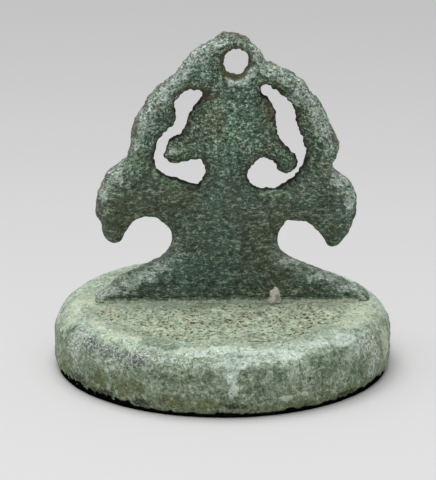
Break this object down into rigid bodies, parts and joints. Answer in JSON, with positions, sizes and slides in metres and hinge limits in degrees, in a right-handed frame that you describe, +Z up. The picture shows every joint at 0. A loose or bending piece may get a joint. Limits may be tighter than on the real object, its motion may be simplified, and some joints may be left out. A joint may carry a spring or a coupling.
{
  "type": "bronze seal with pierced handle",
  "caption": "Round cast bronze seal, with a cut rosette on its underside and a pierced, winged plate handle standing on its top.",
  "frame": {"origin": "centre of the sealing face, on the surface that the seal stands on", "axes": "+Z up through the handle, -Y towards the front, X along the handle's width"},
  "size_m": [0.04, 0.04, 0.0404],
  "materials": {
    "seal_bronze": "corroded bronze, pale green and cream patina",
    "handle_bronze": "corroded bronze, dark green patina with paler worn edges",
    "solder": "corroded, dark olive",
    "soil": "matt granular soil crust",
    "lime": "matt pale concretion"
  },
  "bodies": {
    "root": {"seal_disc": "seal_bronze", "handle": "handle_bronze", "solder_joint": "solder", "soil_crust": "soil", "crust_nodule": "lime"}
  },
  "joints": []
}
